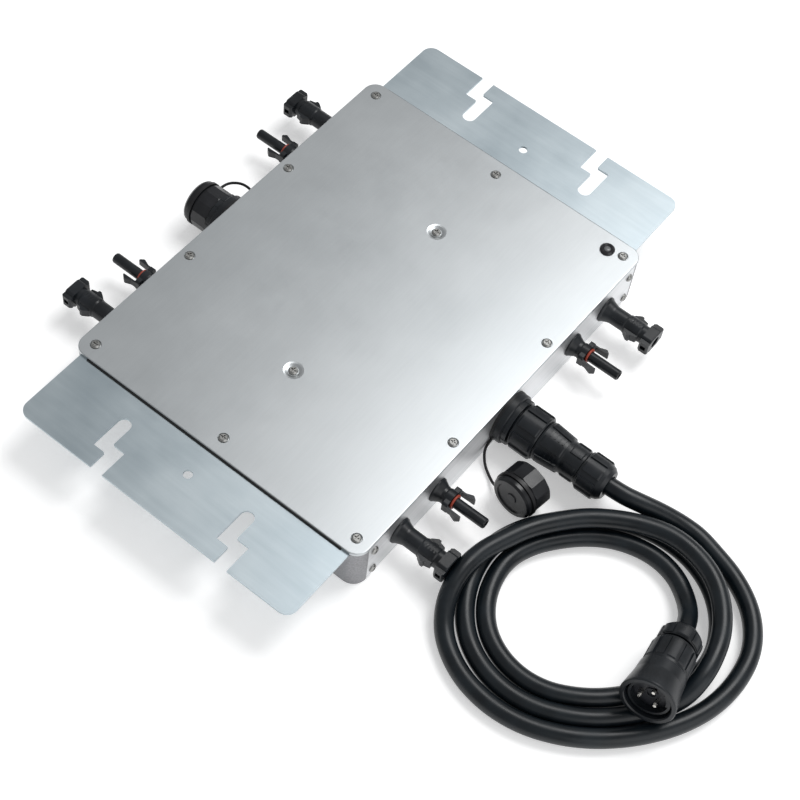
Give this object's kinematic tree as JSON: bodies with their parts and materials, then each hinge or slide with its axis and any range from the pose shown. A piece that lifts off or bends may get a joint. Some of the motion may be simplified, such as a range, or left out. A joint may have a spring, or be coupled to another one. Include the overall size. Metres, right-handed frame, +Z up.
{
  "type": "micro inverter",
  "caption": "Flat solar micro inverter with slotted mounting plates, panel connectors on both sides, capped AC sockets and a coiled AC lead ending in a threaded connector.",
  "frame": {"origin": "middle of the underside of the housing", "axes": "+Z up, +Y from the front mounting plate to the rear one, +X towards the side with the AC lead"},
  "size_m": [0.443, 0.37, 0.0434],
  "materials": {
    "black_plastic": "satin",
    "board_laminate": "gloss",
    "cable_jacket": "semi gloss",
    "can_alloy": "satin",
    "cap_plastic": "satin",
    "cast_alloy": "rough cast",
    "contact_metal": "tin plated",
    "cover_alloy": "satin",
    "ferrite": "matte",
    "insert_plastic": "matte",
    "lens_plastic": "gloss",
    "light_pipe": "gloss",
    "plate_steel": "galvanised",
    "ring_rubber": "satin",
    "screw_steel": "bright",
    "seal_rubber": "matte",
    "sheet_alloy": "satin",
    "strap_rubber": "satin"
  },
  "bodies": {
    "inverter": {"ac_locknuts": "black_plastic", "ac_socket_left": "black_plastic", "ac_socket_pins": "contact_metal", "ac_socket_right": "black_plastic", "board_screws": "screw_steel", "cap_strap_left": "strap_rubber", "cap_strap_right": "strap_rubber", "capacitors": "can_alloy", "circuit_board": "board_laminate", "cover_gasket": "seal_rubber", "cover_screws": "screw_steel", "dc_contact_pins": "contact_metal", "dc_contact_sleeves": "contact_metal", "dc_locknuts": "black_plastic", "dc_plug_left_front": "black_plastic", "dc_plug_left_rear": "black_plastic", "dc_plug_right_front": "black_plastic", "dc_plug_right_rear": "black_plastic", "dc_seal_rings": "ring_rubber", "dc_socket_left_front": "black_plastic", "dc_socket_left_rear": "black_plastic", "dc_socket_right_front": "black_plastic", "dc_socket_right_rear": "black_plastic", "far_body": "black_plastic", "far_insert": "insert_plastic", "far_pins": "contact_metal", "filter_choke": "ferrite", "heat_bar": "sheet_alloy", "housing_tray": "cast_alloy", "lead_coil": "cable_jacket", "lead_run_out": "cable_jacket", "lead_tail": "cable_jacket", "mounting_plate_front": "plate_steel", "mounting_plate_rear": "plate_steel", "panel_screws": "screw_steel", "plug_body": "black_plastic", "plug_gland_seal": "seal_rubber", "plug_insert": "insert_plastic", "seal_beads": "seal_rubber", "side_panel_left": "sheet_alloy", "side_panel_right": "sheet_alloy", "status_lens": "lens_plastic", "status_light": "light_pipe", "top_cover": "cover_alloy", "transformers": "ferrite", "transistors": "insert_plastic"},
    "coupling_nut": {"plug_coupling_nut": "black_plastic"},
    "gland_nut": {"plug_gland_nut": "black_plastic"},
    "left_cap": {"cap_left": "cap_plastic", "cap_seal_left": "seal_rubber"},
    "right_cap": {"cap_right": "cap_plastic", "cap_seal_right": "seal_rubber"},
    "far_collar_ring": {"far_collar": "black_plastic"},
    "far_clamp_nut": {"far_gland_nut": "black_plastic"}
  },
  "joints": [
    {"name": "coupling_nut_turn", "type": "hinge", "parent": "inverter", "child": "coupling_nut", "pos_m": [0.12, 0, 0.0174], "axis": [1, 0, 0], "range_deg": [0, 540]},
    {"name": "gland_nut_turn", "type": "hinge", "parent": "inverter", "child": "gland_nut", "pos_m": [0.167, 0, 0.0174], "axis": [1, 0, 0], "range_deg": [0, 720]},
    {"name": "left_cap_turn", "type": "hinge", "parent": "inverter", "child": "left_cap", "pos_m": [-0.12, 0, 0.0174], "axis": [-1, 0, 0], "range_deg": [0, 540]},
    {"name": "right_cap_turn", "type": "hinge", "parent": "inverter", "child": "right_cap", "pos_m": [0.1404, -0.0246, 0.0145], "axis": [-0.1341, -0.9905, 0.03], "range_deg": [-180, 180]},
    {"name": "far_collar_turn", "type": "hinge", "parent": "inverter", "child": "far_collar_ring", "pos_m": [0.259, -0.0488, 0.018], "axis": [0.1464, -0.9707, 0.1907], "range_deg": [-180, 180]},
    {"name": "far_clamp_nut_turn", "type": "hinge", "parent": "inverter", "child": "far_clamp_nut", "pos_m": [0.259, -0.0488, 0.018], "axis": [-0.1464, 0.9707, -0.1907], "range_deg": [0, 720]}
  ]
}
